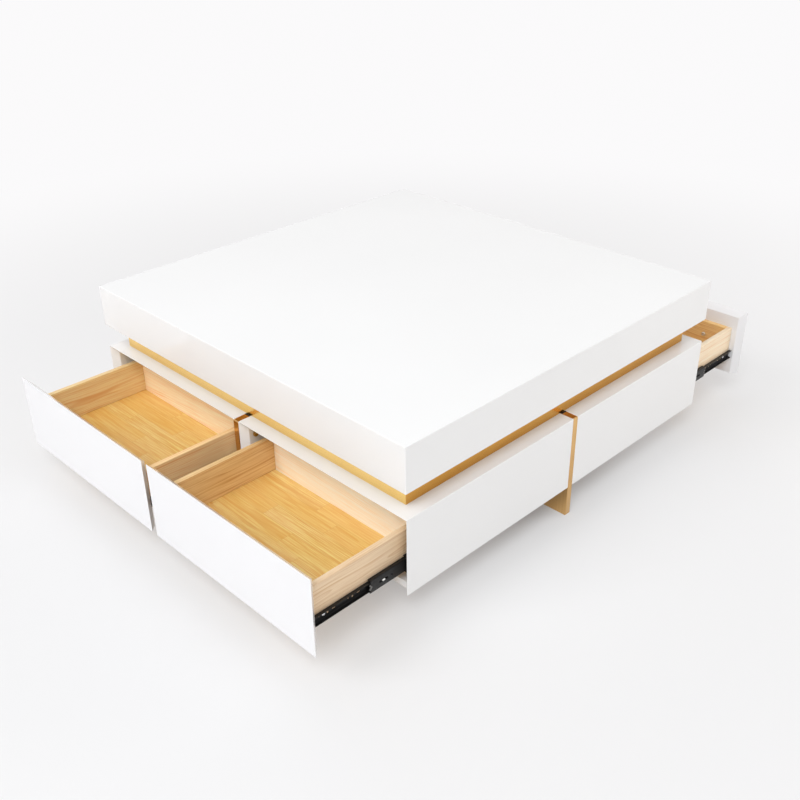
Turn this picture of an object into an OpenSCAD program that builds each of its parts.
// Low square table with drawers. A thick lacquered top stands on a gold neck that is set
// back all round. Under it, four separate cases hang on a cross of two gold boards, whose
// lower edges are the feet. Each case holds one drawer on telescopic runners: two drawers
// open towards -Y and two towards +Y. The drawers are drawn part open.
// +Z is up, and the origin is on the floor under the middle of the table.
// All lengths are in millimetres.

/* [Table top] */
// Width of the top along X
top_w = 1000; // [900:10:1300]
// Depth of the top along Y
top_d = 1000; // [900:10:1300]
// Thickness of the top, from its underside to its upper face
top_h = 98; // [70:1:140]
// Thickness of the mitred boards that make the top and its edges
top_board_t = 15; // [12:1:22]
// Thickness of the sheet that closes the underside of the top
underside_t = 9; // [6:1:15]

/* [Neck] */
// Height of the neck between the cases and the top
neck_h = 56; // [30:1:90]
// How far the gold sheet stands back from the edge of the top
neck_inset = 35; // [25:1:60]
// Thickness of the gold sheet on the neck
band_t = 1.2; // [0.8:0.1:2]
// Thickness of the rails in the neck and in the top
rail_t = 18; // [16:1:25]
// Glue line between two boards of one frame
glue = 0.1; // [0.05:0.05:0.3]

/* [Gold cross] */
// Thickness of a cross board with its gold sheet
cross_t = 15; // [12:1:22]
// Thickness of the gold sheet on the cross boards
skin_t = 1.2; // [0.8:0.1:2]
// Radius of the corners of the cross boards
cross_corner_r = 3; // [2:0.5:8]

/* [Cases] */
// Clear height under the cases
floor_gap = 74; // [50:1:120]
// Height of a case
case_h = 172; // [160:1:220]
// Thickness of the case boards
case_board_t = 15; // [12:1:18]
// Gap round a closed drawer front
reveal = 1; // [0.6:0.1:2]

/* [Drawers] */
// How far the drawers stand open
drawer_open = 221; // [0:1:250]
// Thickness of the drawer front
front_t = 15; // [12:1:18]
// Thickness of the pine boards of the drawer box
box_t = 12; // [10:1:15]
// Height of the drawer box
box_h = 91; // [80:1:105]
// Length of the drawer box, from the back of the front to the back of the box
box_depth = 275; // [240:5:400]
// Gap between the drawer box and the bottom board of its case
box_rise = 20; // [14:1:26]
// Thickness of the drawer's bottom sheet
bottom_t = 5; // [4:1:8]
// Height of the bottom sheet above the lower edge of the box
bottom_rise = 5; // [4:1:16]
// Depth of the groove that holds the bottom sheet
groove_depth = 6; // [3:1:8]

/* [Runners] */
// Gap between a drawer box and the side of its case, which the runner fills
runner_gap = 13; // [12.5:0.1:15]
// Height of the runner's case channel
runner_h = 37; // [35:1:46]
// Height of the middle of the runner above the lower edge of the box
runner_rise = 19; // [18:1:40]
// Thickness of the runner's steel
steel_t = 1.2; // [1:0.1:1.4]
// Diameter of the runner's balls
ball_d = 2.4; // [2:0.1:3]
// Running gap on each side of the balls
run_gap = 0.3; // [0.2:0.05:0.4]
// Room for screw heads between the case channel and the middle channel
head_room = 2; // [1.9:0.1:2.5]
// Gap between the drawer box and the lips of the case and middle channels
lip_gap = 1.5; // [1:0.1:2.5]
// How far the drawer channel ends before the back of the box
runner_setback = 24.5; // [10:0.5:60]
// How far the case channel stands behind the closed drawer front
runner_front_gap = 2; // [1:0.5:6]
// How much shorter the middle channel is than the others
middle_short = 20; // [10:1:40]
// Width of a ball cage
cage_w = 5; // [4:0.5:6]
// Length of a ball cage
cage_len = 90; // [50:1:95]
// Distance from the end of the middle channel to its ball cages
cage_end = 4; // [2:0.5:6]

/* [Holes in the runners] */
// Distance from a channel's front end to its first hole
hole_start = 28.5; // [27:0.5:35]
// Distance from one group of holes to the next
hole_pitch = 58.5; // [50:0.5:70]
// Diameter of the round holes, and width of the slots
slot_w = 4.2; // [3.6:0.1:5]
// Length of the slots
slot_len = 9; // [7:0.5:11]
// Distance from the round hole to the upright slot
upright_step = 10; // [8:0.5:12]
// Distance from the round hole to the level slot
level_step = 24.5; // [21:0.5:28]
// Distance from the drawer channel's front end to its small hole
small_hole_y = 19; // [12:0.5:21]
// Diameter of the small hole
small_hole_d = 3; // [2:0.5:4]
// Distance from the front end of the middle channel to the middle of its access slot
access_y = 32.5; // [30:0.5:34]
// Length of the access slot
access_len = 22; // [14:1:24]

/* [Screws and bolts] */
// Radius of the screws in the drawer front
front_screw_r = 2.2; // [1.8:0.1:2.6]
// Radius of their heads
front_head_r = 6; // [5:0.5:7]
// Height of their heads
front_head_h = 2.2; // [1.5:0.1:3]
// How deep they go into the drawer front
front_screw_bite = 9; // [6:1:10]
// Distance from the inner face of the box's side to the first of them
front_screw_edge = 45; // [30:1:70]
// Height of their axes above the lower edge of the box
front_screw_rise = 54; // [40:1:60]
// Radius of the screws in the runners
runner_screw_r = 1.7; // [1.4:0.1:2]
// Radius of their heads
runner_head_r = 3.6; // [3:0.1:4]
// Height of their heads
runner_head_h = 1.5; // [1.2:0.1:1.6]
// How deep they go into the wood
runner_screw_bite = 8; // [6:0.5:9]
// Distance from the ends of a case channel to its screws
runner_screw_end = 19; // [14:0.5:20]
// Radius of the bolts
bolt_r = 3; // [2.5:0.1:4]
// Radius of the bolt heads
bolt_head_r = 7; // [6:0.1:8]
// Height of the bolt heads
bolt_head_h = 2.5; // [2:0.1:4]
// Gap between a screw or bolt and its hole
screw_play = 0.2; // [0.1:0.05:0.3]
// Depth left free past the tip of a screw
tip_gap = 0.5; // [0.2:0.1:1]
// Drop of the cross bolts below the case's top board
bolt_drop = 20; // [15:1:30]
// Distance of the outer cross bolts behind the front or side of their case
bolt_edge = 16; // [12:1:30]
// Distance of the inner cross bolts from the corner of their case
bolt_corner = 40; // [25:1:60]
// How deep the top bolts go into the rails of the top
bolt_bite = 30; // [20:1:35]

/* [Hidden] */
$fn = 48;
// How far a cutting shape runs past the face that it cuts
past = 1;
half_w = top_w / 2;
half_d = top_d / 2;
cross_half = cross_t / 2;
case_top_z = floor_gap + case_h;
top_z = case_top_z + neck_h;
top_panel_z = top_z + top_h - top_board_t;

// The front right case, X > 0 and Y < 0: the other three are its mirror images.
case_y = -half_d + reveal;
case_mid = (half_w + cross_half) / 2;
case_in_x = cross_half + case_board_t;
case_out_x = half_w - case_board_t;
case_under_z = case_top_z - case_board_t;
case_floor_z = floor_gap + case_board_t;

// The drawer, given closed
front_back_y = -half_d + front_t;
box_in_x = case_in_x + runner_gap;
box_out_x = case_out_x - runner_gap;
box_z = case_floor_z + box_rise;
box_back_y = front_back_y + box_depth;
bottom_z = box_z + bottom_rise;

// The runners: depths are counted from the side of the drawer box towards the case.
runner_z = box_z + runner_rise;
runner_len = box_depth - runner_setback - run_gap;
drawer_channel_y = front_back_y + run_gap;
case_channel_y = front_back_y + reveal + runner_front_gap;
middle_channel_y = case_channel_y + middle_short;
middle_len = runner_len - middle_short;
ball_room = ball_d + 2 * run_gap;
middle_h = runner_h - 2 * steel_t - 2 * ball_room;
drawer_channel_h = middle_h - 2 * steel_t - 2 * ball_room;
middle_web = runner_gap - steel_t - head_room;
drawer_lip = middle_web - steel_t - run_gap;
cage_mid = (lip_gap + drawer_lip) / 2;
case_screws_y = [runner_screw_end, runner_len - runner_screw_end];
// The drawer channel's screws sit in its first round hole, in its third level slot and at its back end.
drawer_screws_y = [hole_start, hole_start + 2 * hole_pitch + level_step, runner_len - hole_start];

// The bolts
rail_mid = half_w - neck_inset - band_t - rail_t / 2;
rail_mid_y = half_d - neck_inset - band_t - rail_t / 2;
bolt_z = case_under_z - bolt_drop;

white = [0.97, 0.97, 0.975];
gold = [0.79, 0.62, 0.38];
pine = [0.90, 0.74, 0.53];
board = [0.76, 0.66, 0.52];
black = [0.13, 0.13, 0.13];
zinc = [0.72, 0.72, 0.70];

QUARTERS = [["front_right", 1, -1], ["front_left", -1, -1], ["back_right", 1, 1], ["back_left", -1, 1]];
QUARTER_NODES = ["case_top", "case_bottom", "case_sides", "case_back", "drawer_front", "drawer_box_front",
    "drawer_sides", "drawer_back", "drawer_bottom", "drawer_channels", "drawer_screws", "middle_channels"];

// ---- Shared shapes ----

// Runs an outline drawn in Y and Z along X.
module along_x(from, to) translate([from, 0, 0]) rotate([90, 0, 90]) linear_extrude(to - from) children();

// Runs an outline drawn in X and Z along Y.
module along_y(from, to) translate([0, to, 0]) rotate([90, 0, 0]) linear_extrude(to - from) children();

// Runs an outline drawn in X and Y along Z.
module along_z(from, to) translate([0, 0, from]) linear_extrude(to - from) children();

// A box between two corners
module block(low, high) translate(low) cube(high - low);

// The outline of a mitred board: its long side from a to b on the line at outer, its short
// side on the line at inner, shorter by the thickness at the ends that are mitred.
function mitred(a, b, outer, inner, at_a = true, at_b = true) =
    let (t = abs(outer - inner))
    [[a, outer], [b, outer], [at_b ? b - t : b, inner], [at_a ? a + t : a, inner]];

// Puts what is drawn for the front right case into case q.
module in_quarter(q) mirror([q[1] < 0 ? 1 : 0, 0, 0]) mirror([0, q[2] > 0 ? 1 : 0, 0]) children();

// Draws a piece of the front right case, and its mirror image on the case's other side.
module on_both_sides() {
    children();
    translate([2 * case_mid, 0, 0]) mirror([1, 0, 0]) children();
}

// A screw along +X whose head sits on X = 0 and reaches back from it, with a cross recess
module screw(r, len, head_r, head_h) rotate([0, 90, 0]) difference() {
    union() {
        cylinder(r = r, h = len);
        translate([0, 0, -head_h]) cylinder(r = head_r, h = head_h);
    }
    for (turn = [0, 90]) rotate(turn)
        translate([-head_r * 0.55, -head_r * 0.1, -head_h]) cube([head_r * 1.1, head_r * 0.2, head_h / 2]);
}

// ---- Table top ----

// The upper board, mitred into the edge boards all round
module top_panel() color(white) intersection() {
    along_y(-half_d, half_d) polygon(mitred(-half_w, half_w, top_z + top_h, top_panel_z));
    along_x(-half_w, half_w) polygon(mitred(-half_d, half_d, top_z + top_h, top_panel_z));
}

// One edge board of the top, mitred at its upper edge and at both ends
module top_edge(half_len, face) intersection() {
    along_x(-half_len, half_len)
        polygon([[face, top_z], [face, top_z + top_h], [face + top_board_t, top_panel_z],
            [face + top_board_t, top_z]]);
    along_z(top_z, top_z + top_h)
        polygon(mitred(-half_len + glue, half_len - glue, face, face + top_board_t));
}

module top_edges() color(white) {
    for (turn = [0, 180]) rotate(turn) top_edge(half_w, -half_d);
    for (turn = [90, 270]) rotate(turn) top_edge(half_d, -half_w);
}

// Holes for the bolts that hold the top down, two in each case
module top_bolt_holes(from, to) for (sx = [-1, 1], sy = [-1, 1], p = [[sx * rail_mid, sy * rail_mid_y / 2],
    [sx * rail_mid / 2, sy * rail_mid_y]])
    translate([p[0], p[1], from - past]) cylinder(r = bolt_r + screw_play, h = to - from + past + tip_gap);

module top_underside() color(board) difference() {
    block([-half_w + top_board_t, -half_d + top_board_t, top_z],
        [half_w - top_board_t, half_d - top_board_t, top_z + underside_t]);
    top_bolt_holes(top_z, top_z + underside_t);
}

// A frame of rails round the neck's outline, with rails across its middle, all glued together
module rail_frame(from, to) {
    in_x = rail_mid - rail_t / 2;
    in_y = rail_mid_y - rail_t / 2;
    for (s = [-1, 1]) {
        block([-in_x - rail_t, s * rail_mid_y - rail_t / 2, from],
            [in_x + rail_t, s * rail_mid_y + rail_t / 2, to]);
        block([s * rail_mid - rail_t / 2, -in_y + glue, from], [s * rail_mid + rail_t / 2, in_y - glue, to]);
        mirror([s < 0 ? 1 : 0, 0, 0])
            block([rail_t / 2 + glue, -rail_t / 2, from], [in_x - glue, rail_t / 2, to]);
    }
    block([-rail_t / 2, -in_y + glue, from], [rail_t / 2, in_y - glue, to]);
}

module top_rails() color(board) difference() {
    rail_frame(top_z + underside_t, top_panel_z);
    top_bolt_holes(top_z, top_z + underside_t + bolt_bite);
}

// ---- Neck ----

module neck_band() color(gold) {
    out = [half_w - neck_inset, half_d - neck_inset];
    difference() {
        block([-out[0], -out[1], case_top_z], [out[0], out[1], top_z]);
        block([-out[0] + band_t, -out[1] + band_t, case_top_z - past],
            [out[0] - band_t, out[1] - band_t, top_z + past]);
    }
}

module neck_rails() color(board) difference() {
    rail_frame(case_top_z, top_z);
    top_bolt_holes(case_top_z, top_z);
}

// ---- Gold cross ----

// A board that stands on edge along X, with round corners
module cross_slab(half_len, t, inset) along_y(-t / 2, t / 2) {
    r = cross_corner_r - min(inset, cross_corner_r - 0.5);
    translate([-half_len + inset + r, inset]) square([2 * (half_len - inset - r), case_top_z - 2 * inset]);
    translate([-half_len + inset, inset + r]) square([2 * (half_len - inset), case_top_z - 2 * (inset + r)]);
    for (s = [-1, 1], z = [inset + r, case_top_z - inset - r])
        translate([s * (half_len - inset - r), z]) circle(r = r);
}

// Holes for the bolts between two neighbouring cases: places is a list of distances from the middle
module cross_bolt_holes(places) for (s = [-1, 1], p = places)
    translate([s * p, -cross_t, bolt_z]) rotate([-90, 0, 0])
        cylinder(r = bolt_r + screw_play, h = 2 * cross_t);

// The two boards are halved into each other: the one along X is notched from below, and the
// one along Y from above.
module notch(from, to) block([-cross_half - glue, -cross_t, from], [cross_half + glue, cross_t, to]);

along_x_bolts = [case_in_x + bolt_corner, case_out_x - bolt_corner];
along_y_bolts = [case_in_x + bolt_corner, half_d - reveal - case_board_t - bolt_edge];

module cross_boards() color(board) {
    difference() {
        cross_slab(half_w, cross_t - 2 * skin_t, skin_t);
        notch(-past, (case_top_z + glue) / 2);
        cross_bolt_holes(along_x_bolts);
    }
    rotate(90) difference() {
        cross_slab(half_d, cross_t - 2 * skin_t, skin_t);
        notch((case_top_z - glue) / 2, case_top_z + past);
        cross_bolt_holes(along_y_bolts);
    }
}

module cross_skins() color(gold) {
    difference() {
        cross_slab(half_w, cross_t, 0);
        cross_slab(half_w, cross_t - 2 * skin_t, skin_t);
        notch(-past, (case_top_z + glue) / 2);
        cross_bolt_holes(along_x_bolts);
    }
    rotate(90) difference() {
        cross_slab(half_d, cross_t, 0);
        cross_slab(half_d, cross_t - 2 * skin_t, skin_t);
        notch((case_top_z - glue) / 2, case_top_z + past);
        cross_bolt_holes(along_y_bolts);
    }
}

// A bolt head with a hexagon socket, on Z = 0 and reaching down from it
module bolt_head() difference() {
    translate([0, 0, -bolt_head_h]) cylinder(r = bolt_head_r, h = bolt_head_h);
    translate([0, 0, -bolt_head_h - past]) cylinder(r = bolt_head_r / 2, h = past + bolt_head_h / 2, $fn = 6);
}

// A bolt with a cap nut, which draws two cases against the cross board between them
module cross_bolt() rotate([-90, 0, 0]) {
    grip = cross_half + case_board_t;
    translate([0, 0, -grip]) cylinder(r = bolt_r, h = 2 * grip);
    for (turn = [0, 180]) rotate([turn, 0, 0]) translate([0, 0, -grip]) bolt_head();
}

// A bolt from inside a case up through the neck into the rails of the top
module top_bolt() translate([0, 0, case_under_z]) {
    bolt_head();
    cylinder(r = bolt_r, h = top_z + underside_t + bolt_bite - case_under_z);
}

module bolts() color(zinc) {
    for (s = [-1, 1]) {
        for (p = along_x_bolts) translate([s * p, 0, bolt_z]) cross_bolt();
        for (p = along_y_bolts) rotate(90) translate([s * p, 0, bolt_z]) cross_bolt();
    }
    for (sx = [-1, 1], sy = [-1, 1]) {
        translate([sx * rail_mid, sy * rail_mid_y / 2, 0]) top_bolt();
        translate([sx * rail_mid / 2, sy * rail_mid_y, 0]) top_bolt();
    }
}

// ---- Cases, drawn for the front right one ----

module case_top() color(white) difference() {
    intersection() {
        along_y(case_y, -cross_half) polygon(mitred(cross_half, half_w, case_top_z, case_under_z));
        along_x(0, half_w) polygon(mitred(case_y, -cross_half, case_top_z, case_under_z, at_b = false));
    }
    top_bolt_holes(case_under_z, case_top_z);
}

// The board on the drawer's outer side; its mirror image is the board against the cross.
// Its upper edge is mitred into the top board, and its front edge is cut to match the front.
module case_side() intersection() {
    along_y(case_y, -cross_half)
        polygon([[half_w, floor_gap], [half_w, case_top_z], [case_out_x, case_under_z],
            [case_out_x, floor_gap]]);
    along_z(floor_gap, case_top_z)
        polygon([[half_w, case_y], [half_w, -cross_half], [case_out_x, -cross_half],
            [case_out_x, case_y + case_board_t]]);
}

// A blind hole for each screw of the case channels
module case_channel_screw_holes() for (y = case_screws_y)
    translate([case_out_x - past, case_channel_y + y, runner_z]) rotate([0, 90, 0])
        cylinder(r = runner_screw_r + screw_play, h = past + runner_screw_bite + tip_gap);

module case_sides() color(white) difference() {
    on_both_sides() difference() {
        case_side();
        case_channel_screw_holes();
    }
    rotate(90) cross_bolt_holes_deep(along_y_bolts);
}

// Bolt holes right through the boards on both sides of a cross board
module cross_bolt_holes_deep(places) for (s = [-1, 1], p = places)
    translate([s * p, -2 * case_in_x, bolt_z]) rotate([-90, 0, 0])
        cylinder(r = bolt_r + screw_play, h = 4 * case_in_x);

module case_bottom() color(white)
    block([case_in_x, front_back_y + reveal, floor_gap], [case_out_x, -case_in_x, case_floor_z]);

module case_back() color(board) difference() {
    block([case_in_x, -case_in_x, floor_gap], [case_out_x, -cross_half, case_under_z]);
    cross_bolt_holes_deep(along_x_bolts);
}

// ---- Drawers, drawn closed for the front right case and then drawn out ----

// The lacquered front: its ends and its upper edge are cut at 45 degrees behind the face
module drawer_front() color(white) translate([0, -drawer_open, 0]) difference() {
    intersection() {
        along_z(floor_gap, case_top_z) polygon(mitred(cross_half + reveal, half_w, -half_d, front_back_y));
        along_x(0, half_w)
            polygon([[-half_d, floor_gap], [-half_d, case_top_z], [front_back_y, case_top_z - front_t],
                [front_back_y, floor_gap]]);
    }
    front_screw_holes(front_screw_bite + tip_gap);
}

front_screws_x = [box_in_x + box_t + front_screw_edge, case_mid, box_out_x - box_t - front_screw_edge];

// Holes from the inner face of the box's front board to a depth in the drawer front
module front_screw_holes(depth) for (x = front_screws_x)
    translate([x, front_back_y - depth, box_z + front_screw_rise]) rotate([-90, 0, 0])
        cylinder(r = front_screw_r + screw_play, h = depth + box_t + past);

// The bottom sheet, which is let into a groove in all four boards of the box
module bottom_sheet()
    block([box_in_x + box_t - groove_depth, front_back_y + box_t - groove_depth, bottom_z],
        [box_out_x - box_t + groove_depth, box_back_y - box_t + groove_depth, bottom_z + bottom_t]);

module drawer_box_front() color(pine) translate([0, -drawer_open, 0]) difference() {
    block([box_in_x + box_t, front_back_y, box_z], [box_out_x - box_t, front_back_y + box_t, box_z + box_h]);
    bottom_sheet();
    front_screw_holes(past);
}

module drawer_back() color(pine) translate([0, -drawer_open, 0]) difference() {
    block([box_in_x + box_t, box_back_y - box_t, box_z], [box_out_x - box_t, box_back_y, box_z + box_h]);
    bottom_sheet();
}

module drawer_sides() color(pine) translate([0, -drawer_open, 0]) difference() {
    on_both_sides() difference() {
        block([box_out_x - box_t, front_back_y, box_z], [box_out_x, box_back_y, box_z + box_h]);
        for (y = drawer_screws_y) translate([box_out_x + past, drawer_channel_y + y, runner_z])
            rotate([0, -90, 0])
                cylinder(r = runner_screw_r + screw_play, h = past + runner_screw_bite + tip_gap);
    }
    bottom_sheet();
}

module drawer_bottom() color([0.93, 0.75, 0.48]) translate([0, -drawer_open, 0]) bottom_sheet();

module drawer_screws() color(zinc) translate([0, -drawer_open, 0]) {
    for (x = front_screws_x) translate([x, front_back_y + box_t, box_z + front_screw_rise]) rotate(-90)
        screw(front_screw_r, box_t + front_screw_bite, front_head_r, front_head_h);
    on_both_sides() for (y = drawer_screws_y)
        translate([box_out_x + steel_t, drawer_channel_y + y, runner_z]) rotate(180)
            screw(runner_screw_r, steel_t + runner_screw_bite, runner_head_r, runner_head_h);
}

// ---- Runners ----

// The section of a channel with its web on the line at web and its lips reaching to lip,
// in depth from the drawer box and height from the runner's middle
module channel_section(web, lip, h) {
    inward = lip > web ? 1 : -1;
    difference() {
        translate([min(web, lip), -h / 2]) square([abs(lip - web), h]);
        translate([inward > 0 ? web + steel_t : lip - past, -h / 2 + steel_t])
            square([abs(lip - web) - steel_t + past, h - 2 * steel_t]);
    }
}

// A hole through a channel's web, at a distance along it: round, or a slot that runs
// along the channel or upright
module web_hole(web, y, along = 0, upright = 0) translate([web - past, y, 0]) {
    through = steel_t + 2 * past;
    for (s = [-1, 1]) translate([0, s * along / 2, s * upright / 2]) rotate([0, 90, 0])
        cylinder(d = slot_w, h = through);
    if (along > 0) translate([0, -along / 2, -slot_w / 2]) cube([through, along, slot_w]);
    if (upright > 0) translate([0, -slot_w / 2, -upright / 2]) cube([through, slot_w, upright]);
}

// Groups of one round hole, one upright slot and one level slot
module web_holes(web, len) {
    span = slot_len - slot_w;
    last = len - hole_start - runner_head_r - slot_len / 2 - level_step;
    for (y = [hole_start : hole_pitch : last]) {
        web_hole(web, y);
        web_hole(web, y + upright_step, upright = span);
        web_hole(web, y + level_step, along = span);
    }
}

// A round hole through a channel's web at each of the places along it
module web_bores(web, places, d = 2 * (runner_screw_r + screw_play)) for (y = places)
    translate([web - past, y, 0]) rotate([0, 90, 0]) cylinder(d = d, h = steel_t + 2 * past);

// Puts a runner's piece against the outer side of the box, its front end at y.
module at_runner(y) translate([box_out_x, y, runner_z]) children();

// The channel on the drawer box: its web lies on the box, and its lips point to the case
module drawer_channels() color(black) translate([0, -drawer_open, 0]) on_both_sides()
    at_runner(drawer_channel_y) difference() {
        along_y(0, runner_len) channel_section(0, drawer_lip, drawer_channel_h);
        web_holes(0, runner_len);
        web_bores(0, [drawer_screws_y[2]]);
        web_bores(0, [small_hole_y], small_hole_d);
    }

// The middle channel, which moves half as far as the drawer, with the ball cages that it
// carries: one pair runs on the drawer channel, and one pair in the case channel
module middle_channels() color(black) translate([0, -drawer_open / 2, 0]) on_both_sides()
    at_runner(middle_channel_y) {
        difference() {
            along_y(0, middle_len) channel_section(middle_web, lip_gap, middle_h);
            web_hole(middle_web - steel_t, access_y, along = access_len - slot_w);
            web_hole(middle_web - steel_t, hole_start + level_step);
            web_hole(middle_web - steel_t, middle_len - access_y, along = access_len - slot_w);
        }
        for (s = [-1, 1]) {
            ball_cage(cage_end, s * (drawer_channel_h + ball_room) / 2);
            ball_cage(middle_len - cage_end - cage_len, s * (middle_h + ball_room) / 2);
        }
    }

// A row of balls in its cage, drawn as one bar
module ball_cage(y, z) block([cage_mid - cage_w / 2, y, z - ball_d / 2],
    [cage_mid + cage_w / 2, y + cage_len, z + ball_d / 2]);

// The channels on the cases
module case_channels() color(black) for (q = QUARTERS) in_quarter(q) on_both_sides()
    at_runner(case_channel_y) difference() {
        along_y(0, runner_len) channel_section(runner_gap, lip_gap, runner_h);
        web_bores(runner_gap - steel_t, case_screws_y);
    }

module case_channel_screws() color(zinc) for (q = QUARTERS) in_quarter(q) on_both_sides()
    at_runner(case_channel_y) for (y = case_screws_y) translate([runner_gap - steel_t, y, 0])
        screw(runner_screw_r, steel_t + runner_screw_bite, runner_head_r, runner_head_h);

// ---- What is drawn ----

top_panel();
top_edges();
top_underside();
top_rails();
neck_band();
neck_rails();
cross_boards();
cross_skins();
bolts();
case_channels();
case_channel_screws();
for (q = QUARTERS) {
    in_quarter(q) case_top();
    in_quarter(q) case_bottom();
    in_quarter(q) case_sides();
    in_quarter(q) case_back();
    in_quarter(q) drawer_front();
    in_quarter(q) drawer_box_front();
    in_quarter(q) drawer_sides();
    in_quarter(q) drawer_back();
    in_quarter(q) drawer_bottom();
    in_quarter(q) drawer_channels();
    in_quarter(q) drawer_screws();
    in_quarter(q) middle_channels();
}
